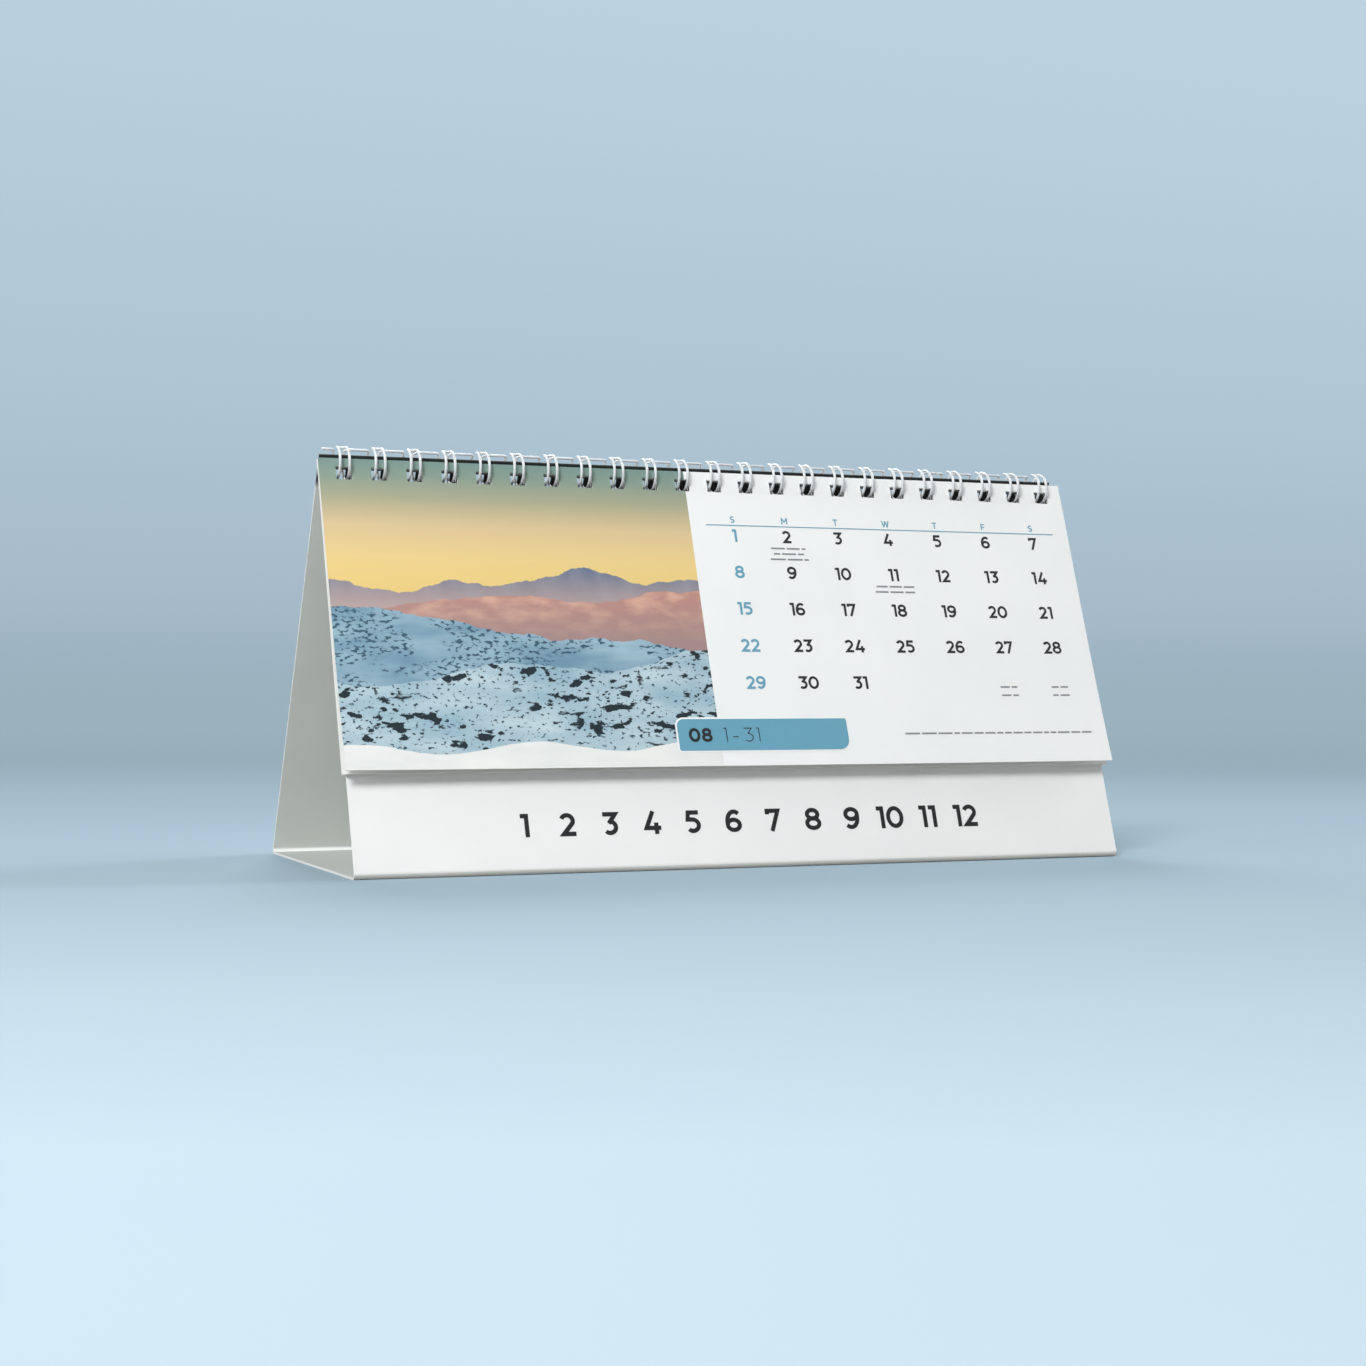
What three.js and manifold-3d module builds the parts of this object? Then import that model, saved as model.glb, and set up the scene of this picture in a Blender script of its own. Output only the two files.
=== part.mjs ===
// Desk calendar: a folded card stand, a twin-loop wire binding and a block of month leaves.
// Millimetres, +Z up. +X runs along the wire, the printed side faces -Y.
// The origin is on the table, under the middle of the stand.

import * as THREE from "three";
import { mergeVertices } from "three/addons/utils/BufferGeometryUtils.js";
import Module from "manifold-3d";

const wasm = await Module();
wasm.setup();

// Stand
const STAND_WIDTH = 196;
const BASE_DEPTH = 80;
const CARD = 0.5;
const FOLD_RADIUS = 1.2;
const FOLD_STEPS = 7;

// Leaves
const LEAF_WIDTH = 198;
const LEAF_HEIGHT = 76;
const LEAF_THICKNESS = 0.2;
const LEAVES_BEHIND = 4;
const LEAF_LEAN = THREE.MathUtils.degToRad(20.3);

// Binding wire
const LOOP_PITCH = 25.4 / 3;
const LOOPS = Math.floor(Math.min(STAND_WIDTH, LEAF_WIDTH) / LOOP_PITCH);
const WIRE_DIAMETER = 0.7;
const WIRE_SIDES = 6;
const RING_RADIUS = 3.8;
const RING_HEIGHT = 94.05;
const RING_SETBACK = 31.9;
const BASE_SPREAD = 1.3;
const TIP_SPREAD = 1.05;
const CORNER_RADIUS = 0.8;
const SPINE_ANGLE = THREE.MathUtils.degToRad(65);
const TIP_ANGLE = THREE.MathUtils.degToRad(81);
const LEG_STEPS = 10;
const BEND_STEPS = 4;

// Punched holes, the same punch in the card and in the leaves
const HOLE_WIDTH = 3.8;
const HOLE_HEIGHT = 3.2;
const FRONT_EDGE_TO_HOLE = 2.1;
const BACK_EDGE_TO_HOLE = 3.5;
const LEAF_EDGE_TO_HOLE = 2.1;

// How the sheets sit about the middle of the ring, measured square to each sheet
const SHEET_GAP = 0.3;
const FRONT_PANEL_OFFSET = 0.3;
const BACK_PANEL_OFFSET = 2.3;
const FRONT_PANEL_RISE = 0.8;
const BACK_PANEL_RISE = 1.35;
const LEAF_RISE = 0.5;

const ring = new THREE.Vector2(RING_SETBACK - BASE_DEPTH / 2, RING_HEIGHT);
const halfDepth = BASE_DEPTH / 2;
const frontFold = new THREE.Vector2(-halfDepth + FOLD_RADIUS, FOLD_RADIUS);
const backFold = new THREE.Vector2(halfDepth - FOLD_RADIUS, FOLD_RADIUS);

// Every section below is drawn in the plane across the wire: its x is +Y and its y is +Z.
const acrossToWorld = new THREE.Matrix4().makeBasis(
  new THREE.Vector3(0, 1, 0),
  new THREE.Vector3(0, 0, 1),
  new THREE.Vector3(1, 0, 0),
);

// Lean from upright of a panel that leaves its fold and passes the ring at a given offset.
function panelLean(fold, offset) {
  const run = Math.abs(ring.x - fold.x);
  const rise = ring.y - fold.y;
  return Math.atan2(run, rise) + Math.asin((FOLD_RADIUS - offset) / Math.hypot(run, rise));
}

const frontLean = panelLean(frontFold, FRONT_PANEL_OFFSET);
const backLean = panelLean(backFold, BACK_PANEL_OFFSET);

// A flat sheet by the ring: `side` is -1 in front of the ring and +1 behind it.
function sheetFrame(lean, side) {
  const out = new THREE.Vector2(side * Math.cos(lean), Math.sin(lean));
  const up = new THREE.Vector2(-side * Math.sin(lean), Math.cos(lean));
  return { out, up };
}

// The point `offset` outward from the ring's centre and `rise` up the sheet.
function sheetPoint(frame, offset, rise) {
  return ring.clone().addScaledVector(frame.out, offset).addScaledVector(frame.up, rise);
}

const front = sheetFrame(frontLean, -1);
const back = sheetFrame(backLean, 1);
const leaf = sheetFrame(LEAF_LEAN, -1);

function holeCentres() {
  return Array.from({ length: LOOPS }, (_, i) => (i - (LOOPS - 1) / 2) * LOOP_PITCH);
}

function toSolid(geometry) {
  const bare = geometry.clone();
  bare.deleteAttribute("normal");
  bare.deleteAttribute("uv");
  const merged = mergeVertices(bare, 1e-5);
  return new wasm.Manifold(new wasm.Mesh({
    numProp: 3,
    vertProperties: new Float32Array(merged.attributes.position.array),
    triVerts: new Uint32Array(merged.index.array),
  }));
}

function toGeometry(solid) {
  const mesh = solid.getMesh();
  const geometry = new THREE.BufferGeometry();
  geometry.setAttribute("position", new THREE.BufferAttribute(mesh.vertProperties, 3));
  geometry.setIndex(new THREE.BufferAttribute(mesh.triVerts, 1));
  geometry.computeVertexNormals();
  return geometry;
}

// Outline of the folded card: one strip of even thickness with two soft folds.
function standOutline() {
  const inner = FOLD_RADIUS - CARD;
  const frontOut = Math.PI - frontLean;
  const backOut = backLean;
  const outline = new THREE.Shape();
  const frontTop = sheetPoint(front, FRONT_PANEL_OFFSET, FRONT_PANEL_RISE);
  const frontTopInner = sheetPoint(front, FRONT_PANEL_OFFSET - CARD, FRONT_PANEL_RISE);
  const backTop = sheetPoint(back, BACK_PANEL_OFFSET, BACK_PANEL_RISE);
  const backTopInner = sheetPoint(back, BACK_PANEL_OFFSET - CARD, BACK_PANEL_RISE);
  outline.moveTo(frontTopInner.x, frontTopInner.y);
  outline.lineTo(frontTop.x, frontTop.y);
  outline.absarc(frontFold.x, frontFold.y, FOLD_RADIUS, frontOut, 1.5 * Math.PI, false);
  outline.absarc(backFold.x, backFold.y, FOLD_RADIUS, -Math.PI / 2, backOut, false);
  outline.lineTo(backTop.x, backTop.y);
  outline.lineTo(backTopInner.x, backTopInner.y);
  outline.absarc(backFold.x, backFold.y, inner, backOut, -Math.PI / 2, true);
  outline.absarc(frontFold.x, frontFold.y, inner, 1.5 * Math.PI, frontOut, true);
  outline.closePath();
  return outline;
}

// Turns a shape drawn flat, with x along the wire and y up the sheet, to stand on a sheet.
function sheetToWorld(frame) {
  return new THREE.Matrix4().makeBasis(
    new THREE.Vector3(1, 0, 0),
    new THREE.Vector3(0, frame.up.x, frame.up.y),
    new THREE.Vector3(0, -frame.up.y, frame.up.x),
  );
}

// The row of punches through a sheet whose outer face is `offset` from the ring's centre.
function punchRow(frame, offset, thickness, topRise, edgeToHole) {
  const drop = edgeToHole + HOLE_HEIGHT / 2;
  const centre = sheetPoint(frame, offset - thickness / 2, topRise - drop);
  return holeCentres().map((x) => {
    const punch = new THREE.BoxGeometry(HOLE_WIDTH, HOLE_HEIGHT, thickness * 4);
    punch.applyMatrix4(sheetToWorld(frame));
    punch.translate(x, centre.x, centre.y);
    return toSolid(punch);
  });
}

function makeStand() {
  const strip = new THREE.ExtrudeGeometry(standOutline(), {
    depth: STAND_WIDTH,
    bevelEnabled: false,
    curveSegments: FOLD_STEPS,
  });
  strip.applyMatrix4(acrossToWorld);
  strip.translate(-STAND_WIDTH / 2, 0, 0);
  const punches = [
    ...punchRow(front, FRONT_PANEL_OFFSET, CARD, FRONT_PANEL_RISE, FRONT_EDGE_TO_HOLE),
    ...punchRow(back, BACK_PANEL_OFFSET, CARD, BACK_PANEL_RISE, BACK_EDGE_TO_HOLE),
  ];
  return toGeometry(toSolid(strip).subtract(wasm.Manifold.union(punches)));
}

// A sheet or block of sheets with its row of holes; its outer face is at `offset`.
function makeSheet(frame, offset, thickness) {
  const block = new THREE.BoxGeometry(LEAF_WIDTH, LEAF_HEIGHT, thickness);
  const middle = sheetPoint(frame, offset - thickness / 2, LEAF_RISE - LEAF_HEIGHT / 2);
  block.applyMatrix4(sheetToWorld(frame));
  block.translate(0, middle.x, middle.y);
  const punches = punchRow(frame, offset, thickness, LEAF_RISE, LEAF_EDGE_TO_HOLE);
  return toGeometry(toSolid(block).subtract(wasm.Manifold.union(punches)));
}

// The wire's course drawn flat: x along the binding, s round the ring.
function wireCourse() {
  const spine = SPINE_ANGLE * RING_RADIUS;
  const tip = (TIP_ANGLE - 2 * Math.PI) * RING_RADIUS;
  const legTop = spine - CORNER_RADIUS;
  const legEnd = tip + TIP_SPREAD;
  const course = [];
  const add = (x, s) => course.push(new THREE.Vector2(x, s));
  const corner = (x, side, step) => {
    const turn = (step / BEND_STEPS) * (Math.PI / 2);
    const reach = CORNER_RADIUS * (1 - Math.sin(turn));
    add(x + side * (BASE_SPREAD + reach), spine - CORNER_RADIUS * (1 - Math.cos(turn)));
  };
  const centres = holeCentres();
  add(centres[0] - LOOP_PITCH / 2, spine);
  for (const x of centres) {
    for (let step = 0; step <= BEND_STEPS; step += 1) corner(x, -1, step);
    for (let step = 1; step <= LEG_STEPS; step += 1) {
      const part = step / LEG_STEPS;
      const spread = THREE.MathUtils.lerp(BASE_SPREAD, TIP_SPREAD, part);
      add(x - spread, THREE.MathUtils.lerp(legTop, legEnd, part));
    }
    for (let step = 1; step < BEND_STEPS; step += 1) {
      const turn = (step / BEND_STEPS) * Math.PI;
      add(x - TIP_SPREAD * Math.cos(turn), legEnd - TIP_SPREAD * Math.sin(turn));
    }
    for (let step = LEG_STEPS; step >= 1; step -= 1) {
      const part = step / LEG_STEPS;
      const spread = THREE.MathUtils.lerp(BASE_SPREAD, TIP_SPREAD, part);
      add(x + spread, THREE.MathUtils.lerp(legTop, legEnd, part));
    }
    if (x === centres[LOOPS - 1]) {
      add(x + BASE_SPREAD, legTop);
    } else {
      for (let step = BEND_STEPS; step >= 0; step -= 1) corner(x, 1, step);
    }
  }
  return course;
}

// The flat course wrapped round the ring.
class WireCurve extends THREE.Curve {
  constructor(course) {
    super();
    this.course = course;
  }

  getPoint(t, target = new THREE.Vector3()) {
    const place = THREE.MathUtils.clamp(t, 0, 1) * (this.course.length - 1);
    const before = Math.min(Math.floor(place), this.course.length - 2);
    const from = this.wrap(this.course[before]);
    const to = this.wrap(this.course[before + 1]);
    return target.lerpVectors(from, to, place - before);
  }

  // The steps follow the course's own points and aren't spread evenly.
  getUtoTmapping(u) {
    return u;
  }

  wrap(point) {
    const angle = point.y / RING_RADIUS;
    return new THREE.Vector3(
      point.x,
      ring.x + RING_RADIUS * Math.cos(angle),
      ring.y + RING_RADIUS * Math.sin(angle),
    );
  }
}

function makeWire() {
  const section = new THREE.Shape(Array.from({ length: WIRE_SIDES }, (_, i) => {
    const turn = (i / WIRE_SIDES) * 2 * Math.PI;
    return new THREE.Vector2(Math.cos(turn), Math.sin(turn)).multiplyScalar(WIRE_DIAMETER / 2);
  }));
  const course = wireCourse();
  return new THREE.ExtrudeGeometry(section, {
    steps: course.length - 1,
    extrudePath: new WireCurve(course),
  });
}

function finish(color, roughness, metalness) {
  return new THREE.MeshStandardMaterial({ color, roughness, metalness });
}

function addPiece(group, name, geometry, material) {
  const mesh = new THREE.Mesh(geometry, material);
  mesh.name = name;
  group.add(mesh);
}

const packThickness = LEAVES_BEHIND * LEAF_THICKNESS;
const packOffset = FRONT_PANEL_OFFSET + SHEET_GAP + packThickness;
const leafOffset = packOffset + SHEET_GAP + LEAF_THICKNESS;

const calendar = new THREE.Group();
addPiece(calendar, "stand", makeStand(), finish(0xe9ebea, 0.75, 0));
addPiece(calendar, "wire_binding", makeWire(), finish(0xf2f3f3, 0.35, 0));
addPiece(calendar, "leaf_pack", makeSheet(front, packOffset, packThickness), finish(0xefefec, 0.8, 0));
addPiece(calendar, "front_leaf", makeSheet(leaf, leafOffset, LEAF_THICKNESS), finish(0xf4f4f2, 0.7, 0));

export default calendar;
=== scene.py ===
"""Dresses the desk calendar: white card stand, coated twin-loop wire and printed month leaves."""

from __future__ import annotations

import logging
import math
import random
from dataclasses import dataclass, field
from enum import Enum
from functools import lru_cache
from typing import Any, Sequence

import bmesh
import bpy
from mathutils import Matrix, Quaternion, Vector
from mathutils.geometry import delaunay_2d_cdt


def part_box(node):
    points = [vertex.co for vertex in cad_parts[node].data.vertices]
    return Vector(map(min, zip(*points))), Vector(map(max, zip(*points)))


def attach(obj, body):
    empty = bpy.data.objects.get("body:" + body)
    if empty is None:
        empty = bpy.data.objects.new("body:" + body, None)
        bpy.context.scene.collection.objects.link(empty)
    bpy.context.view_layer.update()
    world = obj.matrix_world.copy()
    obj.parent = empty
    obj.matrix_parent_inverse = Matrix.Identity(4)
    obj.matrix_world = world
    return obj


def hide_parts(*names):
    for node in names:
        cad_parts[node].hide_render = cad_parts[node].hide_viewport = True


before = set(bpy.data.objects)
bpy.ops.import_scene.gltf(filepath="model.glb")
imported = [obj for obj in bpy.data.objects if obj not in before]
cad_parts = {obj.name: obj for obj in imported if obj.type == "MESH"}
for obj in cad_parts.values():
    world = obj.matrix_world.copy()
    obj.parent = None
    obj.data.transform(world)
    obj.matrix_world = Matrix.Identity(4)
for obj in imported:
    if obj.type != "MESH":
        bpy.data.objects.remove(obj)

LOG = logging.getLogger("desk_calendar")
MM = 0.001

# What counts as looking to the front, and as lying on one plane.
FRONT_TILT = 0.8
SAME_PLANE = 0.01 * MM
# Points closer than this are one point.
WELD = 0.01 * MM
# Degrees from point to point along a round stroke.
ARC_STEP = 12

# Node types that are used often. A Mix node's colours are its inputs 6 and 7 and its output 2.
COORDS = "ShaderNodeTexCoord"
NOISE = "ShaderNodeTexNoise"
MATH = "ShaderNodeMath"
VECTOR_MATH = "ShaderNodeVectorMath"
SPLIT = "ShaderNodeSeparateXYZ"
COMBINE = "ShaderNodeCombineXYZ"
RANGE = "ShaderNodeMapRange"
MIX = "ShaderNodeMix"
RAMP = "ShaderNodeValToRGB"
BUMP = "ShaderNodeBump"

Tree = bpy.types.NodeTree
Node = bpy.types.Node
Socket = bpy.types.NodeSocket
Outline = list[tuple[float, float]]
Filled = tuple[Outline, list[tuple[int, int, int]]]


class Body(Enum):
    """The two bodies that the pieces ride on."""

    STAND = "stand"
    LEAVES = "leaves"


class Align(Enum):
    """Where a line of print is anchored, as the share of its width that lies left of the anchor."""

    LEFT = 0.0
    CENTER = 0.5
    RIGHT = 1.0


def linear(hex_colour: str) -> tuple[float, float, float, float]:
    """Turns an sRGB hex colour to linear values.

    Args:
        hex_colour: six hex digits.

    Returns:
        Red, green, blue and an alpha of 1, linear.
    """
    parts = [int(hex_colour[i : i + 2], 16) / 255 for i in (0, 2, 4)]
    red, green, blue = (p / 12.92 if p <= 0.04045 else ((p + 0.055) / 1.055) ** 2.4 for p in parts)
    return red, green, blue, 1.0


def add_node(
    tree: Tree, kind: str, inputs: dict | None = None, stops: Sequence = (), **settings: Any
) -> Node:
    """Adds one node with its settings, values and links.

    Args:
        tree: the node tree to add to.
        kind: the node's type name.
        inputs: input name or index to a value, a hex colour, a socket, a node whose first output is
            linked, or a list of nodes that all go into that input.
        stops: place and colour of each stop, on a colour ramp.
        settings: the node's own properties.

    Returns:
        The new node.
    """
    node = tree.nodes.new(kind)
    for name, value in settings.items():
        setattr(node, name, value)
    for key, value in (inputs or {}).items():
        for source in value if isinstance(value, list) else [value]:
            if isinstance(source, Node):
                tree.links.new(source.outputs[0], node.inputs[key])
            elif isinstance(source, Socket):
                tree.links.new(source, node.inputs[key])
            else:
                node.inputs[key].default_value = linear(source) if isinstance(source, str) else source
    if stops:
        elements = node.color_ramp.elements
        for _ in stops[2:]:
            elements.new(0.5)
        for element, (place, colour) in zip(elements, stops):
            element.position = place
            element.color = linear(colour) if isinstance(colour, str) else colour
    return node


def new_material(name: str) -> tuple[bpy.types.Material, Tree]:
    """Makes an empty node material.

    Args:
        name: the material's name.

    Returns:
        The material and its node tree.
    """
    material = bpy.data.materials.new(name)
    material.use_nodes = True
    material.node_tree.nodes.clear()
    return material, material.node_tree


def finish_shader(tree: Tree, inputs: dict) -> None:
    """Ends a material with a Principled shader that has these inputs."""
    shader = add_node(tree, "ShaderNodeBsdfPrincipled", inputs)
    add_node(tree, "ShaderNodeOutputMaterial", {"Surface": shader})


def per_metre(size_mm: float) -> float:
    """Pattern scale that gives cells of `size_mm` on coordinates in metres."""
    return 1.0 / (size_mm * MM)


@dataclass(frozen=True)
class LeafPaper:
    """Uncoated offset paper, calendered: nearly matt, with cloudy pulp and a fine tooth."""

    name: str = "uncoated_offset_paper"
    colour: str = "eeefec"
    mottle: str = "e4e6e3"
    roughness: float = 0.75
    roughness_spread: float = 0.05
    # Fibre clumps in real paper are about 0.1 to 0.4 mm; 0.5 mm is as fine as the render shows.
    fibre_mm: float = 0.5
    cloud_mm: float = 14.0
    tooth: float = 0.08
    tooth_mm: float = 0.05
    # Painted shade: the cut walls of the punched holes, which lie in this band and inside this width, are
    # painted dark grey.
    hole_grey: str = "2c2e2d"
    hole_band: tuple[float, float] = (85.0, 93.6)
    hole_span: float = 97.0
    # Both sides of a leaf look this far up or down, and every other face is a wall.
    face_tilt: float = 0.35
    tilt_reach: float = 0.15

    def punched(self, tree: Tree, coords: Node) -> Node:
        """Makes a mask of the walls of the punched holes, from the faces' directions and places.

        Args:
            tree: the material's tree.
            coords: its Texture Coordinate node.

        Returns:
            The node whose value is 1 on the walls.
        """
        facing = add_node(tree, SPLIT, {0: coords.outputs["Normal"]}).outputs[2]
        place = add_node(tree, SPLIT, {0: coords.outputs["Object"]}).outputs
        steep = add_node(tree, MATH, {0: facing}, operation="ABSOLUTE")
        flat = add_node(tree, MATH, {0: steep, 1: self.face_tilt, 2: self.tilt_reach}, operation="COMPARE")
        wall = add_node(tree, MATH, {0: 1.0, 1: flat}, operation="SUBTRACT")
        middle = sum(self.hole_band) / 2
        reach = self.hole_band[1] - middle
        band = add_node(tree, MATH, {0: place[2], 1: middle * MM, 2: reach * MM}, operation="COMPARE")
        span = add_node(tree, MATH, {0: place[0], 1: 0.0, 2: self.hole_span * MM}, operation="COMPARE")
        inside = add_node(tree, MATH, {0: band, 1: span}, operation="MULTIPLY")
        return add_node(tree, MATH, {0: wall, 1: inside}, operation="MULTIPLY")

    def build(self) -> bpy.types.Material:
        """Builds the material.

        Returns:
            The material.
        """
        material, tree = new_material(self.name)
        coords = add_node(tree, COORDS)
        spot = coords.outputs["Object"]
        cloud = add_node(tree, NOISE, {"Vector": spot, "Scale": per_metre(self.cloud_mm), "Detail": 3.0})
        fibre = add_node(tree, NOISE, {"Vector": spot, "Scale": per_metre(self.fibre_mm), "Detail": 4.0})
        total = add_node(tree, MATH, {0: cloud, 1: fibre}, operation="ADD")
        shade = add_node(tree, MATH, {0: total, 1: 0.5}, operation="MULTIPLY")
        pulp = add_node(tree, MIX, {0: shade, 6: self.colour, 7: self.mottle}, data_type="RGBA").outputs[2]
        walls = self.punched(tree, coords)
        # Painted shade: the walls of the punched holes are painted dark grey.
        colour = add_node(tree, MIX, {0: walls, 6: pulp, 7: self.hole_grey}, data_type="RGBA").outputs[2]
        low, high = self.roughness - self.roughness_spread, self.roughness + self.roughness_spread
        rough = add_node(tree, RANGE, {0: cloud, 3: low, 4: high})
        relief = {"Height": fibre, "Strength": self.tooth, "Distance": self.tooth_mm * MM}
        inputs = {"Base Color": colour, "Roughness": rough, "Normal": add_node(tree, BUMP, relief)}
        finish_shader(tree, inputs)
        return material


@dataclass(frozen=True)
class FoldedCard:
    """Carton board: clay-coated white outside, bare pulp inside the tunnel, whose grey is partly its own and
    partly painted shade, with the base's inner side and a band along the holes painted darker as shade.
    """

    name: str = "clay_coated_carton_board"
    coat: str = "f1f3f2"
    coat_shade: str = "eaecec"
    # The bare reverse is greyer than the coat: partly the pulp's own grey, partly painted shade.
    pulp: str = "e2e6e2"
    pulp_shade: str = "d8dcd8"
    # Painted shade: the base's inner side is painted darker than the panels' pulp.
    base_pulp: str = "bcc1bd"
    # Painted shade: a dark band on the bare pulp all along the holes, between these heights.
    rub: str = "2a2d2b"
    rub_low: float = 88.6
    rub_high: float = 90.2
    roughness: float = 0.55
    pulp_roughness: float = 0.9
    fibre_mm: float = 0.5
    cloud_mm: float = 16.0
    tooth: float = 0.08
    pulp_tooth: float = 0.33
    tooth_mm: float = 0.05
    base_top_mm: float = 2.0
    # How far up the faces look, and how far round that: both panels' inner sides down, their outer sides
    # a little up, and the base's inner side straight up.
    inner_tilt: tuple[float, float] = (-0.5, 0.45)
    outer_tilt: tuple[float, float] = (0.4, 0.2)
    base_tilt: float = 0.95

    def bare_faces(self, tree: Tree, facing: Socket, height: Socket) -> tuple[Node, Node]:
        """Finds the faces that show bare pulp.

        Args:
            tree: the material's tree.
            facing: how far up a face looks.
            height: the height above the table in metres.

        Returns:
            The masks of all bare faces and of the base's inner side.
        """
        tilt, reach = self.inner_tilt
        panels = add_node(tree, MATH, {0: facing, 1: tilt, 2: reach}, operation="COMPARE")
        low = add_node(tree, MATH, {0: height, 1: self.base_top_mm * MM}, operation="LESS_THAN")
        upward = add_node(tree, MATH, {0: facing, 1: self.base_tilt}, operation="GREATER_THAN")
        base = add_node(tree, MATH, {0: upward, 1: low}, operation="MULTIPLY")
        # At the top every face but the two outer ones is bare too: the cut edges and the walls of the holes,
        # which there take the band's painted shade.
        top = add_node(tree, MATH, {0: height, 1: self.rub_low * MM}, operation="GREATER_THAN")
        tilt, reach = self.outer_tilt
        outer = add_node(tree, MATH, {0: facing, 1: tilt, 2: reach}, operation="COMPARE")
        hidden = add_node(tree, MATH, {0: 1.0, 1: outer}, operation="SUBTRACT")
        cut = add_node(tree, MATH, {0: top, 1: hidden}, operation="MULTIPLY")
        inside = add_node(tree, MATH, {0: panels, 1: base}, operation="MAXIMUM")
        return add_node(tree, MATH, {0: inside, 1: cut}, operation="MAXIMUM"), base

    def build(self) -> bpy.types.Material:
        """Builds the material.

        Returns:
            The material.
        """
        material, tree = new_material(self.name)
        coords = add_node(tree, COORDS).outputs
        spot = coords["Object"]
        cloud = add_node(tree, NOISE, {"Vector": spot, "Scale": per_metre(self.cloud_mm), "Detail": 3.0})
        fibre = add_node(tree, NOISE, {"Vector": spot, "Scale": per_metre(self.fibre_mm), "Detail": 4.0})
        facing = add_node(tree, SPLIT, {0: coords["Normal"]}).outputs[2]
        height = add_node(tree, SPLIT, {0: spot}).outputs[2]
        bare, base = self.bare_faces(tree, facing, height)
        coat = add_node(tree, MIX, {0: cloud, 6: self.coat, 7: self.coat_shade}, data_type="RGBA").outputs[2]
        pulp = add_node(tree, MIX, {0: cloud, 6: self.pulp, 7: self.pulp_shade}, data_type="RGBA").outputs[2]
        # Painted shade: the pulp turns dark grey from the band's lower height to its upper one, and stays
        # dark above it.
        shade_band_mask = add_node(tree, RANGE, {0: height, 1: self.rub_low * MM, 2: self.rub_high * MM})
        pulp = add_node(tree, MIX, {0: shade_band_mask, 6: pulp, 7: self.rub}, data_type="RGBA").outputs[2]
        # Painted shade: the base's inner side takes a darker pulp than the panels.
        pulp = add_node(tree, MIX, {0: base, 6: pulp, 7: self.base_pulp}, data_type="RGBA").outputs[2]
        colour = add_node(tree, MIX, {0: bare, 6: coat, 7: pulp}, data_type="RGBA").outputs[2]
        rise = self.pulp_tooth - self.tooth
        tooth = add_node(tree, MATH, {0: bare, 1: rise, 2: self.tooth}, operation="MULTIPLY_ADD")
        bump = add_node(tree, BUMP, {"Height": fibre, "Strength": tooth, "Distance": self.tooth_mm * MM})
        spread = self.pulp_roughness - self.roughness
        rough = add_node(tree, MATH, {0: bare, 1: spread, 2: self.roughness}, operation="MULTIPLY_ADD")
        finish_shader(tree, {"Base Color": colour, "Roughness": rough, "Normal": bump})
        return material


@dataclass(frozen=True)
class CoatedWire:
    """Steel wire in white nylon: a smooth plastic skin with a soft gloss and faint draw marks."""

    name: str = "white_nylon_coated_wire"
    colour: str = "dfe2e4"
    dull: str = "c9cdd1"
    roughness: float = 0.32
    wave_mm: float = 1.6
    wave_strength: float = 0.1
    wave_depth_mm: float = 0.02
    gloss: float = 0.25
    gloss_roughness: float = 0.2

    def build(self) -> bpy.types.Material:
        """Builds the material.

        Returns:
            The material.
        """
        material, tree = new_material(self.name)
        spot = add_node(tree, COORDS).outputs["Object"]
        wave = add_node(tree, NOISE, {"Vector": spot, "Scale": per_metre(self.wave_mm), "Detail": 3.0})
        colour = add_node(tree, MIX, {0: wave, 6: self.colour, 7: self.dull}, data_type="RGBA").outputs[2]
        relief = {"Height": wave, "Strength": self.wave_strength, "Distance": self.wave_depth_mm * MM}
        inputs = {
            "Base Color": colour,
            "Roughness": self.roughness,
            "Normal": add_node(tree, BUMP, relief),
            "Coat Weight": self.gloss,
            "Coat Roughness": self.gloss_roughness,
        }
        finish_shader(tree, inputs)
        return material


@dataclass(frozen=True)
class Ink:
    """Offset ink: thin, matt, with a slight unevenness from the paper under it."""

    name: str
    colour: str
    worn: str
    grain_mm: float = 0.35
    roughness: float = 0.5

    def build(self) -> bpy.types.Material:
        """Builds the material.

        Returns:
            The material.
        """
        material, tree = new_material(self.name)
        spot = add_node(tree, COORDS).outputs["Object"]
        grain = add_node(tree, NOISE, {"Vector": spot, "Scale": per_metre(self.grain_mm), "Detail": 2.0})
        colour = add_node(tree, MIX, {0: grain, 6: self.colour, 7: self.worn}, data_type="RGBA").outputs[2]
        finish_shader(tree, {"Base Color": colour, "Roughness": self.roughness})
        return material


@dataclass(frozen=True)
class Ridge:
    """One hill line of the printed picture, in millimetres from the leaf's lower left corner.

    Each of its swells is a rise, a length and a phase.
    """

    height: float
    slope: float
    swells: tuple[tuple[float, float, float], ...]
    roughness: float
    grain_mm: float
    seed: float


@dataclass(frozen=True)
class Patches:
    """Ragged patches of ink, `stretch` times longer along x and y, from a noise between two limits."""

    stretch: tuple[float, float]
    size_mm: float
    low: float
    high: float


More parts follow.
